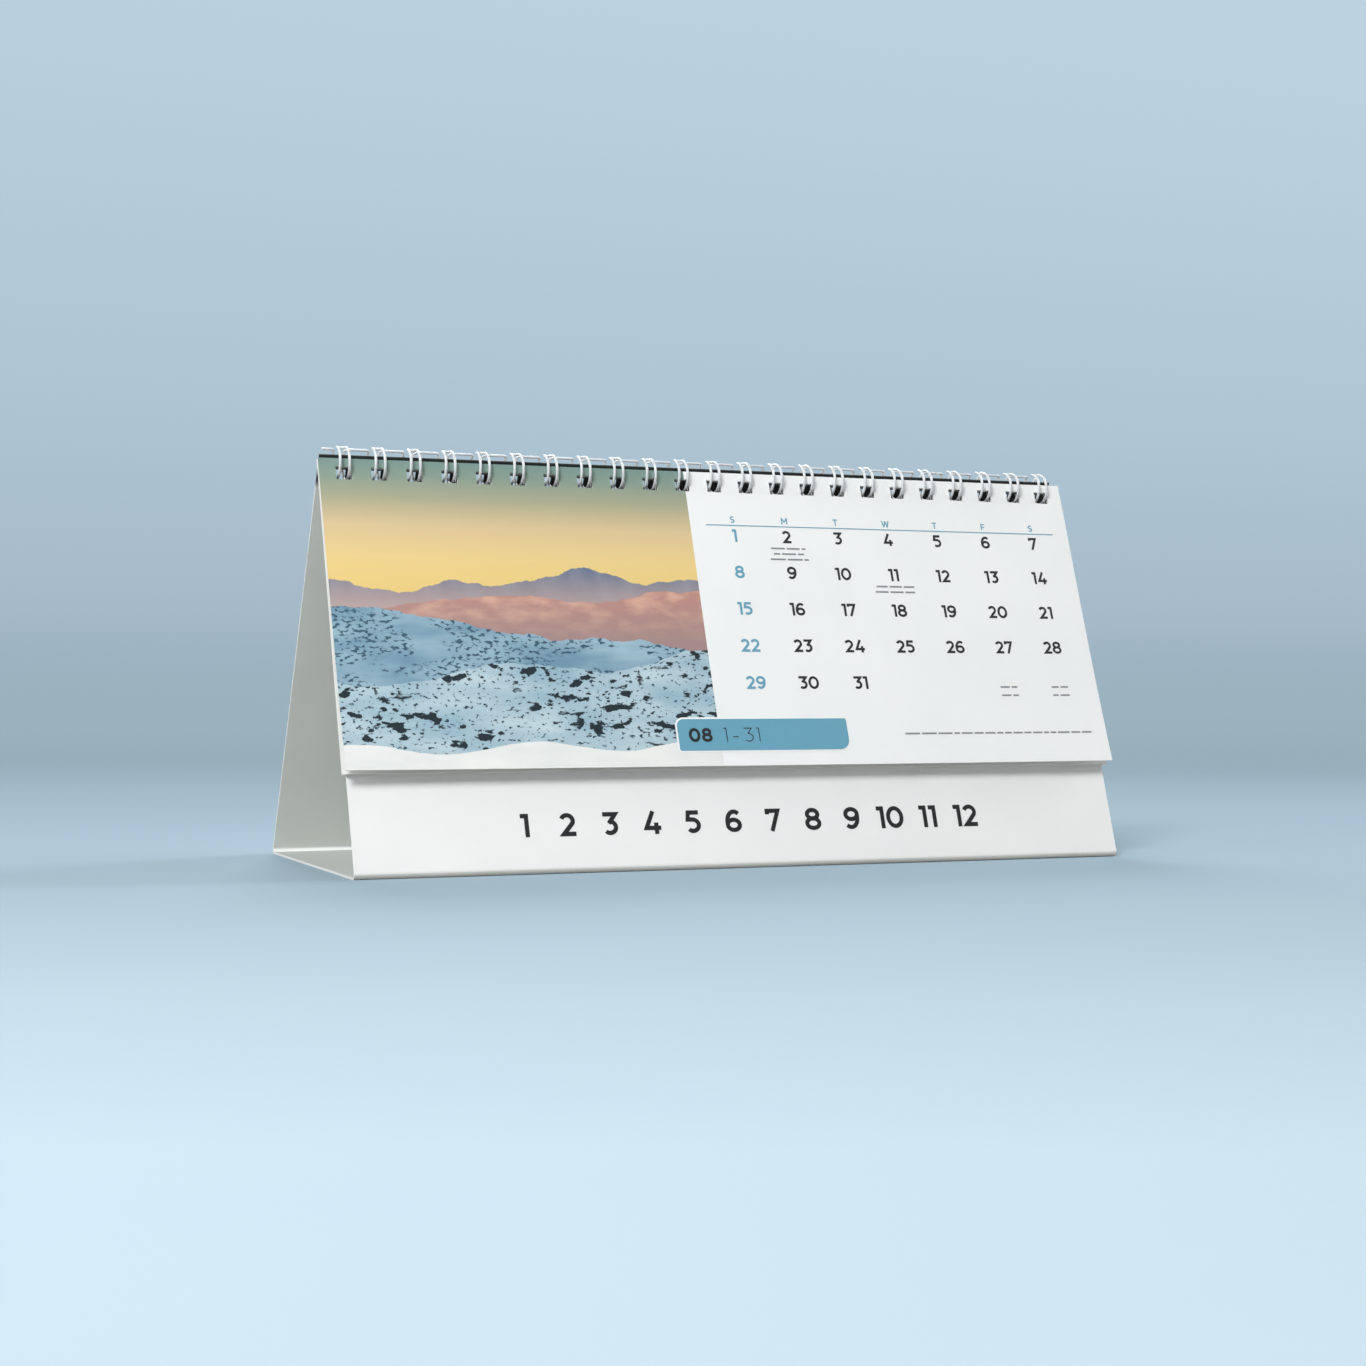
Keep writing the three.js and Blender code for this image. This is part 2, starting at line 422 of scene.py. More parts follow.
@dataclass(frozen=True)
class PrintedLeaf:
    """Satin paper, printed at the left with a plain evening landscape of layered hills."""

    name: str = "printed_satin_paper"
    leaf_width: float = 198.0
    picture_width: float = 91.2
    paper: str = "f1f3f3"
    paper_shade: str = "e9ecec"
    roughness: float = 0.42
    cloud_mm: float = 18.0
    fibre_mm: float = 0.5
    tooth: float = 0.05
    tooth_mm: float = 0.04
    frame_edge_mm: float = 0.05
    edge_mm: float = 0.16
    # The sky from its lowest tone to its highest, and the heights between which it turns.
    sky: tuple[tuple[float, str], ...] = (
        (0.0, "e4c67a"),
        (0.12, "e6ca80"),
        (0.28, "e6cb89"),
        (0.52, "d6bf92"),
        (0.72, "a6a68a"),
        (0.88, "879b8d"),
        (1.0, "76928c"),
    )
    sky_span: tuple[float, float] = (42.0, 76.0)
    # Each hill line, its two tones, and where it has them the haze at its foot and its marks.
    far_hills: Ridge = Ridge(45.0, 0.03, ((1.7, 71.0, 2.6), (0.8, 29.0, 0.9)), 5.5, 17.0, 3.1)
    far_tones: tuple[str, str] = ("5c6f88", "74839a")
    far_light: Patches = Patches((1.0, 3.0), 5.0, 0.40, 0.66)
    far_haze: str = "b49f9c"
    far_haze_span: tuple[float, float] = (39.0, 50.0)
    rose_hills: Ridge = Ridge(39.5, 0.045, ((1.4, 58.0, 4.0),), 3.2, 15.0, 8.7)
    rose_tones: tuple[str, str] = ("b98a80", "e0b39a")
    rose_wisps: Patches = Patches((2.2, 1.0), 3.0, 0.42, 0.70)
    rose_haze: str = "a08584"
    rose_haze_span: tuple[float, float] = (31.0, 44.0)
    snow_slope: Ridge = Ridge(39.0, -0.12, ((1.2, 64.0, 0.2),), 2.6, 9.0, 5.2)
    snow_tones: tuple[str, str] = ("6c91a8", "9dbccb")
    snow_shade: Patches = Patches((3.0, 1.0), 7.0, 0.35, 0.68)
    scrub_tone: str = "33566a"
    scrub: Patches = Patches((1.8, 1.0), 0.8, 0.53, 0.58)
    near_slope: Ridge = Ridge(21.0, 0.07, ((1.8, 53.0, 3.2),), 2.0, 10.0, 1.4)
    near_tones: tuple[str, str] = ("93b3c2", "bdd2da")
    pebble_tone: str = "24404f"
    pebbles: Patches = Patches((1.5, 1.0), 0.8, 0.60, 0.62)
    stone_tone: str = "16262e"
    stones: Patches = Patches((1.7, 1.0), 2.3, 0.555, 0.575)
    # Scrub and stones only stand inside these wider patches.
    bare_ground: Patches = Patches((2.6, 1.0), 11.0, 0.455, 0.475)
    drift: Ridge = Ridge(4.6, 0.01, ((1.3, 42.0, 1.1),), 0.5, 9.0, 6.3)
    drift_tones: tuple[str, str] = ("dfe3e2", "edeeeb")

    def build(self) -> bpy.types.Material:
        """Builds the material.

        Returns:
            The material.
        """
        material, tree = new_material(self.name)
        print_place = add_node(tree, "ShaderNodeUVMap", uv_map=LeafSheet.UV_NAME)
        to_mm = {0: print_place, 1: (self.leaf_width,) * 3}
        place = add_node(tree, VECTOR_MATH, to_mm, operation="MULTIPLY")
        x = add_node(tree, SPLIT, {0: place}).outputs[0]
        cloud = add_node(tree, NOISE, {"Vector": place, "Scale": 1 / self.cloud_mm, "Detail": 2.0})
        blank = {0: cloud, 6: self.paper, 7: self.paper_shade}
        paper = add_node(tree, MIX, blank, data_type="RGBA").outputs[2]
        inside = self.below(tree, x, self.picture_width, self.frame_edge_mm)
        whole = {0: inside, 6: paper, 7: self.picture(tree, place)}
        colour = add_node(tree, MIX, whole, data_type="RGBA").outputs[2]
        fibre = add_node(tree, NOISE, {"Vector": place, "Scale": 1 / self.fibre_mm, "Detail": 3.0})
        bump = add_node(tree, BUMP, {"Height": fibre, "Strength": self.tooth, "Distance": self.tooth_mm * MM})
        finish_shader(tree, {"Base Color": colour, "Roughness": self.roughness, "Normal": bump})
        return material

    def below(self, tree: Tree, value: Socket, limit: Node | float, soft: float) -> Node:
        """Makes a mask that is 1 where a value is under a limit.

        Args:
            tree: the material's tree.
            value: what is compared, in millimetres.
            limit: the limit, in millimetres.
            soft: the width of the mask's edge.

        Returns:
            The mask's node.
        """
        gap = add_node(tree, MATH, {0: limit, 1: value}, operation="SUBTRACT")
        return add_node(tree, RANGE, {0: gap, 1: -soft / 2, 2: soft / 2})

    def ridge_mask(self, tree: Tree, ridge: Ridge, place: Node) -> Node:
        """Finds the part of the picture that lies under one hill line.

        Args:
            tree: the material's tree.
            ridge: the hill line.
            place: the place on the leaf in millimetres.

        Returns:
            The mask's node.
        """
        x, y = add_node(tree, SPLIT, {0: place}).outputs[:2]
        line = add_node(tree, MATH, {0: x, 1: ridge.slope, 2: ridge.height}, operation="MULTIPLY_ADD")
        for rise, length, phase in ridge.swells:
            turn = add_node(tree, MATH, {0: x, 1: 2 * math.pi / length, 2: phase}, operation="MULTIPLY_ADD")
            wave = add_node(tree, MATH, {0: turn}, operation="SINE")
            line = add_node(tree, MATH, {0: wave, 1: rise, 2: line}, operation="MULTIPLY_ADD")
        strip = add_node(tree, COMBINE, {0: x, 1: ridge.seed})
        crag = add_node(tree, NOISE, {"Vector": strip, "Scale": 1 / ridge.grain_mm, "Detail": 5.0})
        centred = add_node(tree, MATH, {0: crag, 1: 0.5}, operation="SUBTRACT")
        rough = {0: centred, 1: 2 * ridge.roughness, 2: line}
        line = add_node(tree, MATH, rough, operation="MULTIPLY_ADD")
        return self.below(tree, y, line, self.edge_mm)

    def patch_mask(self, tree: Tree, place: Node, patches: Patches) -> Node:
        """Makes a mask of ragged patches.

        Args:
            tree: the material's tree.
            place: the place on the leaf in millimetres.
            patches: their shape.

        Returns:
            The mask's node.
        """
        along, up = patches.stretch
        pressed = add_node(tree, VECTOR_MATH, {0: place, 1: (1 / along, 1 / up, 1.0)}, operation="MULTIPLY")
        pattern = add_node(tree, NOISE, {"Vector": pressed, "Scale": 1 / patches.size_mm, "Detail": 6.0})
        return add_node(tree, RANGE, {0: pattern, 1: patches.low, 2: patches.high})

    def hills(self, tree: Tree, place: Node) -> list[tuple[Ridge, Socket]]:
        """Mixes the colour of each hill.

        Args:
            tree: the material's tree.
            place: the place on the leaf in millimetres.

        Returns:
            Each hill line with its colour, from the farthest to the nearest.
        """
        y = add_node(tree, SPLIT, {0: place}).outputs[1]
        shade = self.patch_mask(tree, place, self.snow_shade)
        layers = (
            (self.far_hills, self.patch_mask(tree, place, self.far_light), self.far_tones),
            (self.rose_hills, self.patch_mask(tree, place, self.rose_wisps), self.rose_tones),
            (self.snow_slope, shade, self.snow_tones),
            (self.near_slope, shade, self.near_tones),
            (self.drift, shade, self.drift_tones),
        )
        tones = []
        for _, light, (dark, pale) in layers:
            tones.append(add_node(tree, MIX, {0: light, 6: dark, 7: pale}, data_type="RGBA").outputs[2])
        far, rose, snow, near, drift = tones
        low, high = self.far_haze_span
        clear = add_node(tree, RANGE, {0: y, 1: low, 2: high})
        far = add_node(tree, MIX, {0: clear, 6: self.far_haze, 7: far}, data_type="RGBA").outputs[2]
        low, high = self.rose_haze_span
        clear = add_node(tree, RANGE, {0: y, 1: low, 2: high})
        rose = add_node(tree, MIX, {0: clear, 6: self.rose_haze, 7: rose}, data_type="RGBA").outputs[2]
        ground = self.patch_mask(tree, place, self.bare_ground)
        scrub = {0: self.patch_mask(tree, place, self.scrub), 1: ground}
        scrub = add_node(tree, MATH, scrub, operation="MULTIPLY")
        snow = add_node(tree, MIX, {0: scrub, 6: snow, 7: self.scrub_tone}, data_type="RGBA").outputs[2]
        pebbles = self.patch_mask(tree, place, self.pebbles)
        near = add_node(tree, MIX, {0: pebbles, 6: near, 7: self.pebble_tone}, data_type="RGBA").outputs[2]
        stones = {0: self.patch_mask(tree, place, self.stones), 1: ground}
        stones = add_node(tree, MATH, stones, operation="MULTIPLY")
        near = add_node(tree, MIX, {0: stones, 6: near, 7: self.stone_tone}, data_type="RGBA").outputs[2]
        return list(zip((layer[0] for layer in layers), (far, rose, snow, near, drift)))

    def picture(self, tree: Tree, place: Node) -> Socket:
        """Mixes the landscape's colour, from the sky to the near drift.

        Args:
            tree: the material's tree.
            place: the place on the leaf in millimetres.

        Returns:
            The colour's socket.
        """
        y = add_node(tree, SPLIT, {0: place}).outputs[1]
        height = add_node(tree, RANGE, {0: y, 1: self.sky_span[0], 2: self.sky_span[1]})
        colour = add_node(tree, RAMP, {0: height}, stops=self.sky).outputs[0]
        for ridge, tone in self.hills(tree, place):
            layer = {0: self.ridge_mask(tree, ridge, place), 6: colour, 7: tone}
            colour = add_node(tree, MIX, layer, data_type="RGBA").outputs[2]
        return colour


@dataclass
class FacePlane:
    """A flat printed face: its top left corner, its directions and how far out print stands."""

    corner: Vector
    right: Vector
    down: Vector
    out: Vector

    @classmethod
    def of_node(cls, node: str) -> FacePlane:
        """Finds the face of a node that looks to the front and up.

        Args:
            node: the node's name.

        Returns:
            The face's plane.
        """
        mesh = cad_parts[node].data
        looking = [p for p in mesh.polygons if p.normal.y < -FRONT_TILT and p.normal.z > 0]
        largest = max(looking, key=lambda p: p.area)
        out = largest.normal.normalized()
        right = Vector((1, 0, 0))
        down = right.cross(out).normalized()
        on_face = [v.co for v in mesh.vertices if abs((v.co - largest.center).dot(out)) < SAME_PLANE]
        top = min(on_face, key=lambda co: co.dot(down))
        left = min(co.x for co in on_face)
        return cls(Vector((left, top.y, top.z)), right, down, out)

    def place(self, x_mm: float, y_mm: float, lift_mm: float = 0.0) -> Vector:
        """The point `x_mm` to the right, `y_mm` down the face and `lift_mm` in front of it."""
        return self.corner + (self.right * x_mm + self.down * y_mm + self.out * lift_mm) * MM


@dataclass
class BowedFace(FacePlane):
    """A face of loose paper: it bows a little between its edges."""

    width_mm: float = 198.0
    height_mm: float = 76.0
    sag_mm: float = 0.45
    corner_mm: float = 0.35

    def place(self, x_mm: float, y_mm: float, lift_mm: float = 0.0) -> Vector:
        """Finds a point as on a flat face, with the paper's own bow added.

        Args:
            x_mm: how far to the right.
            y_mm: how far down the face.
            lift_mm: how far in front of it.

        Returns:
            The point in metres.
        """
        along = x_mm / self.width_mm
        fall = y_mm / self.height_mm
        hollow = -self.sag_mm * math.sin(math.pi * fall) * fall
        curl = self.corner_mm * (2 * along - 1) ** 4 * fall**3
        return super().place(x_mm, y_mm, lift_mm + hollow + curl)


def link_object(name: str, mesh: bpy.types.Mesh) -> bpy.types.Object:
    """Puts a mesh in the scene as an object at the origin.

    Args:
        name: the object's name.
        mesh: its mesh.

    Returns:
        The object.
    """
    piece = bpy.data.objects.new(name, mesh)
    bpy.context.scene.collection.objects.link(piece)
    return piece


def geometry_tree(name: str, sockets: dict[str, str]) -> tuple[Tree, dict[str, str], Node]:
    """Starts a Geometry Nodes tree with named inputs.

    Args:
        name: the tree's name.
        sockets: input name to socket type.

    Returns:
        The tree, each input's identifier, and the input node.
    """
    tree = bpy.data.node_groups.new(name, "GeometryNodeTree")
    tree.interface.new_socket("Geometry", in_out="INPUT", socket_type="NodeSocketGeometry")
    tree.interface.new_socket("Geometry", in_out="OUTPUT", socket_type="NodeSocketGeometry")
    identifiers = {}
    for label, kind in sockets.items():
        socket = tree.interface.new_socket(label, in_out="INPUT", socket_type=kind)
        identifiers[label] = socket.identifier
    return tree, identifiers, add_node(tree, "NodeGroupInput")


def end_tree(tree: Tree, geometry: Node, material: bpy.types.Material) -> None:
    """Ends a Geometry Nodes tree with real geometry and its material.

    Args:
        tree: the tree.
        geometry: the last node of the shape.
        material: the piece's material.
    """
    real = add_node(tree, "GeometryNodeRealizeInstances", {0: geometry})
    dressed = add_node(tree, "GeometryNodeSetMaterial", {"Geometry": real, "Material": material})
    add_node(tree, "NodeGroupOutput", {0: dressed})


def run_tree(piece: bpy.types.Object, tree: Tree, values: dict[str, Any]) -> None:
    """Runs a Geometry Nodes tree on a piece and keeps the result as its plain mesh.

    Args:
        piece: the object.
        tree: the tree.
        values: input identifier to value.
    """
    modifier = piece.modifiers.new(tree.name, "NODES")
    modifier.node_group = tree
    for identifier, value in values.items():
        modifier[identifier] = value
    graph = bpy.context.evaluated_depsgraph_get()
    evaluated = piece.evaluated_get(graph)
    mesh = bpy.data.meshes.new_from_object(evaluated, preserve_all_data_layers=True, depsgraph=graph)
    piece.modifiers.clear()
    piece.data = mesh


@dataclass
class Binding:
    """The twin-loop wire: one length of coated wire bent into loops along the top."""

    loops: int = 23
    pitch: float = 25.4 / 3
    # A little thinner than its 0.7 mm solid, which makes it look as thin as the real wire.
    wire_diameter: float = 0.64
    ring_radius: float = 3.8
    ring_y: float = -8.1
    ring_z: float = 94.05
    base_spread: float = 1.3
    tip_spread: float = 1.05
    corner_radius: float = 0.8
    spine_angle: float = math.radians(65)
    tip_angle: float = math.radians(81 - 360)
    end_margin: float = 0.1
    leg_steps: int = 36
    bend_steps: int = 6
    wire_sides: int = 14

    def unit_course(self) -> Outline:
        """Draws one loop flat, from the middle of one spine stretch to the middle of the next.

        Returns:
            Its points: along the spine, and round the ring.
        """
        spine = self.spine_angle * self.ring_radius
        leg_top = spine - self.corner_radius
        leg_end = self.tip_angle * self.ring_radius + self.tip_spread
        half = [(-self.pitch / 2, spine)]
        for step in range(self.bend_steps + 1):
            turn = step / self.bend_steps * math.pi / 2
            reach = self.corner_radius * (1 - math.sin(turn))
            fall = self.corner_radius * (1 - math.cos(turn))
            half.append((-self.base_spread - reach, spine - fall))
        for step in range(1, self.leg_steps + 1):
            part = step / self.leg_steps
            spread = self.base_spread + (self.tip_spread - self.base_spread) * part
            half.append((-spread, leg_top + (leg_end - leg_top) * part))
        bend = []
        for step in range(1, self.bend_steps * 2):
            turn = step / (self.bend_steps * 2) * math.pi
            bend.append((-self.tip_spread * math.cos(turn), leg_end - self.tip_spread * math.sin(turn)))
        return half + bend + [(-x, s) for x, s in reversed(half)]

    def wrap(self, x: float, s: float) -> Vector:
        """Wraps a point of the flat course round the ring.

        Args:
            x: its place along the spine.
            s: its place round the ring.

        Returns:
            The point in metres.
        """
        angle = s / self.ring_radius
        y = self.ring_y + self.ring_radius * math.cos(angle)
        z = self.ring_z + self.ring_radius * math.sin(angle)
        return Vector((x, y, z)) * MM

    def tree(self, material: bpy.types.Material) -> tuple[Tree, dict[str, Any]]:
        """Builds the tree that repeats the loop, joins the copies and gives them their section.

        Args:
            material: the wire's finish.

        Returns:
            The tree, and the value of each of its inputs.
        """
        sockets = {
            "Loops": "NodeSocketInt",
            "Pitch": "NodeSocketFloat",
            "Wire radius": "NodeSocketFloat",
            "Wire sides": "NodeSocketInt",
            "Wire end": "NodeSocketFloat",
        }
        tree, names, source = geometry_tree("twin_loop_wire", sockets)
        out = source.outputs
        step = add_node(tree, COMBINE, {0: out["Pitch"]})
        gaps = add_node(tree, MATH, {0: out["Loops"], 1: 1.0}, operation="SUBTRACT")
        left = add_node(tree, MATH, {0: gaps, 1: -0.5}, operation="MULTIPLY")
        first = add_node(tree, MATH, {0: left, 1: out["Pitch"]}, operation="MULTIPLY")
        start = add_node(tree, COMBINE, {0: first})
        row = {"Count": out["Loops"], "Start Location": start, "Offset": step}
        line = add_node(tree, "GeometryNodeMeshLine", row)
        copies = add_node(tree, "GeometryNodeInstanceOnPoints", {"Points": line, "Instance": out[0]})
        real = add_node(tree, "GeometryNodeRealizeInstances", {0: copies})
        joined = add_node(tree, "GeometryNodeMergeByDistance", {"Geometry": real, "Distance": WELD})
        where = add_node(tree, SPLIT, {0: add_node(tree, "GeometryNodeInputPosition")})
        past = add_node(tree, "FunctionNodeCompare", {0: where, 1: out["Wire end"]}, operation="GREATER_THAN")
        cut = add_node(tree, "GeometryNodeDeleteGeometry", {0: joined, 1: past})
        course = add_node(tree, "GeometryNodeMeshToCurve", {0: cut})
        ring = {"Resolution": out["Wire sides"], "Radius": out["Wire radius"]}
        section = add_node(tree, "GeometryNodeCurvePrimitiveCircle", ring)
        pipe = {"Curve": course, "Profile Curve": section, "Fill Caps": True}
        tube = add_node(tree, "GeometryNodeCurveToMesh", pipe)
        end_tree(tree, add_node(tree, "GeometryNodeSetShadeSmooth", {"Geometry": tube}), material)
        last = (self.loops - 1) / 2 * self.pitch + self.base_spread
        values = {
            names["Loops"]: self.loops,
            names["Pitch"]: self.pitch * MM,
            names["Wire radius"]: self.wire_diameter / 2 * MM,
            names["Wire sides"]: self.wire_sides,
            names["Wire end"]: (last + self.end_margin) * MM,
        }
        return tree, values

    def build(self) -> bpy.types.Object:
        """Builds the wire and lets it stand for its solid.

        Returns:
            The wire.
        """
        points = [self.wrap(x, s) for x, s in self.unit_course()]
        mesh = bpy.data.meshes.new("fine_wire")
        mesh.from_pydata(points, [(i, i + 1) for i in range(len(points) - 1)], [])
        piece = link_object("fine_wire", mesh)
        run_tree(piece, *self.tree(CoatedWire().build()))
        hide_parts("wire_binding")
        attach(piece, Body.STAND.value)
        return piece


@dataclass
class LeafSheet:
    """One leaf: a thin sheet with a row of punched holes near its top edge."""

    UV_NAME = "print_place"

    width: float = 198.0
    height: float = 76.0
    loops: int = 23
    pitch: float = 25.4 / 3
    hole_width: float = 3.8
    hole_height: float = 3.2
    edge_to_hole: float = 2.1
    row_step: float = 4.0

    def first_hole(self) -> float:
        """The x of the first hole's middle."""
        return self.width / 2 - (self.loops - 1) / 2 * self.pitch

    def flat_grid(self, name: str) -> bpy.types.Mesh:
        """Draws the sheet flat, in rows and columns that follow the sides of the holes.

        Args:
            name: the mesh's name.

        Returns:
            The mesh, without holes or thickness.
        """
        low = self.edge_to_hole + self.hole_height
        count = math.ceil((self.height - low) / self.row_step)
        rows = [0.0, self.edge_to_hole] + [low + (self.height - low) * i / count for i in range(count + 1)]
        columns = [0.0]
        for index in range(self.loops):
            middle = self.first_hole() + index * self.pitch
            columns += [middle - self.hole_width / 2, middle + self.hole_width / 2]
        columns.append(self.width)
        wide = len(columns)
        points = [(x * MM, -y * MM, 0.0) for y in rows for x in columns]
        corners = [i * wide + j for i in range(len(rows) - 1) for j in range(wide - 1)]
        faces = [(at + wide, at + wide + 1, at + 1, at) for at in corners]
        mesh = bpy.data.meshes.new(name)
        mesh.from_pydata(points, [], faces)
        return mesh

    def tree(self, thickness: float, material: bpy.types.Material) -> tuple[Tree, dict[str, Any]]:
        """Builds the tree that punches the row of holes and gives the sheet its thickness.

        Args:
            thickness: the sheet's thickness in millimetres.
            material: the paper.

        Returns:
            The tree, and the value of each of its inputs.
        """
        low = self.edge_to_hole + self.hole_height
        sizes = {
            "Pitch": self.pitch,
            "First hole": self.first_hole(),
            "Hole width": self.hole_width,
            "Hole middle": -(self.edge_to_hole + low) / 2,
            "Hole height": self.hole_height,
            "Thickness": thickness,
        }
        tree, names, source = geometry_tree("punched_sheet", {label: "NodeSocketFloat" for label in sizes})
        out = source.outputs
        spot = add_node(tree, SPLIT, {0: add_node(tree, "GeometryNodeInputPosition")}).outputs
        halves = {}
        for label in ("Pitch", "Hole width", "Hole height"):
            halves[label] = add_node(tree, MATH, {0: out[label], 1: 0.5}, operation="MULTIPLY")
        along = add_node(tree, MATH, {0: spot[0], 1: out["First hole"]}, operation="SUBTRACT")
        away = add_node(tree, MATH, {0: along, 1: halves["Pitch"]}, operation="PINGPONG")
        across = add_node(tree, MATH, {0: away, 1: 0.0, 2: halves["Hole width"]}, operation="COMPARE")
        row = {0: spot[1], 1: out["Hole middle"], 2: halves["Hole height"]}
        down = add_node(tree, MATH, row, operation="COMPARE")
        hole = add_node(tree, MATH, {0: across, 1: down}, operation="MULTIPLY")
        front = add_node(tree, "GeometryNodeDeleteGeometry", {0: out[0], 1: hole}, domain="FACE")
        turned = add_node(tree, "GeometryNodeFlipFaces", {0: front})
        push = {"Mesh": turned, "Offset Scale": out["Thickness"], "Individual": False}
        back = add_node(tree, "GeometryNodeExtrudeMesh", push, mode="FACES")
        both = add_node(tree, "GeometryNodeJoinGeometry", {0: [front, back]})
        closed = add_node(tree, "GeometryNodeMergeByDistance", {"Geometry": both, "Distance": WELD})
        end_tree(tree, closed, material)
        return tree, {names[label]: size * MM for label, size in sizes.items()}

    def build(
        self, name: str, face: FacePlane, thickness: float, material: bpy.types.Material
    ) -> bpy.types.Object:
        """Builds the sheet behind a face.

        Args:
            name: the sheet's name.
            face: the face that its printed side follows.
            thickness: the sheet's thickness in millimetres.
            material: the paper.

        Returns:
            The closed sheet, with each corner's place on the print as its UV map.
        """
        piece = link_object(name, self.flat_grid(name))
        run_tree(piece, *self.tree(thickness, material))
        mesh = piece.data
        flat = [vertex.co / MM for vertex in mesh.vertices]
        for vertex, (x, up, out) in zip(mesh.vertices, flat):
            vertex.co = face.place(x, -up, out)
        layer = mesh.uv_layers.new(name=self.UV_NAME)
        for loop, corner in zip(mesh.loops, layer.data):
            x, up, _ = flat[loop.vertex_index]
            corner.uv = (x / self.width, (self.height + up) / self.width)
        mesh.update()
        return piece


@dataclass
class SheetStack:
    """The leaves behind the front one, lying on each other and fanned by a hair."""

    sheet: LeafSheet
    count: int = 4
    spacing: float = 0.2
    thickness: float = 0.15
    fan: float = math.radians(0.12)

    def tree(self, face: FacePlane, material: bpy.types.Material) -> tuple[Tree, dict[str, Any]]:
        """Builds the tree that lays the sheets behind each other.

        Args:
            face: the first sheet's face.
            material: the paper.

        Returns:
            The tree, and the value of each of its inputs.
        """
        sockets = {
            "Sheets": "NodeSocketInt",
            "Step": "NodeSocketVector",
            "Fan": "NodeSocketFloat",
            "Top edge": "NodeSocketVector",
        }
        tree, names, source = geometry_tree("sheet_stack", sockets)
        out = source.outputs
        line = add_node(tree, "GeometryNodeMeshLine", {"Count": out["Sheets"], "Offset": out["Step"]})
        copies = add_node(tree, "GeometryNodeInstanceOnPoints", {"Points": line, "Instance": out[0]})
        index = add_node(tree, "GeometryNodeInputIndex")
        angle = add_node(tree, MATH, {0: index, 1: out["Fan"]}, operation="MULTIPLY")
        turn = {
            "Instances": copies,
            "Rotation": add_node(tree, COMBINE, {0: angle}),
            "Pivot Point": out["Top edge"],
            "Local Space": False,
        }
        end_tree(tree, add_node(tree, "GeometryNodeRotateInstances", turn), material)
        values = {
            names["Sheets"]: self.count,
            names["Step"]: -face.out * self.spacing * MM,
            names["Fan"]: self.fan,
            names["Top edge"]: face.corner,
        }
        return tree, values

    def build(self) -> bpy.types.Object:
        """Builds the stack and lets it stand for its solid.

        Returns:
            The stack.
        """
        face = FacePlane.of_node("leaf_pack")
        paper = LeafPaper().build()
        piece = self.sheet.build("leaf_stack", face, self.thickness, paper)
        run_tree(piece, *self.tree(face, paper))
        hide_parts("leaf_pack")
        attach(piece, Body.LEAVES.value)
        return piece


# Widths of the signs in cap heights.
SIGN_WIDTHS = {
    "0": 0.84,
    "1": 0.38,
    "2": 0.7,
    "3": 0.7,
    "4": 0.82,
    "5": 0.71,
    "6": 0.75,
    "7": 0.72,
    "8": 0.77,
    "9": 0.75,
    "-": 0.4,
    "S": 0.68,
    "M": 0.94,
    "T": 0.7,
    "W": 1.16,
    "F": 0.62,
}


def arc(centre: tuple[float, float], radii: tuple[float, float], start: float, end: float) -> Outline:
    """Draws points along part of an ellipse.

    Args:
        centre: its centre.
        radii: its radii along x and y.
        start: first angle in degrees.
        end: last angle in degrees.

    Returns:
        The points in order.
    """
    steps = max(2, round(abs(end - start) / ARC_STEP))
    turns = [math.radians(start + (end - start) * i / steps) for i in range(steps + 1)]
    return [(centre[0] + radii[0] * math.cos(t), centre[1] + radii[1] * math.sin(t)) for t in turns]


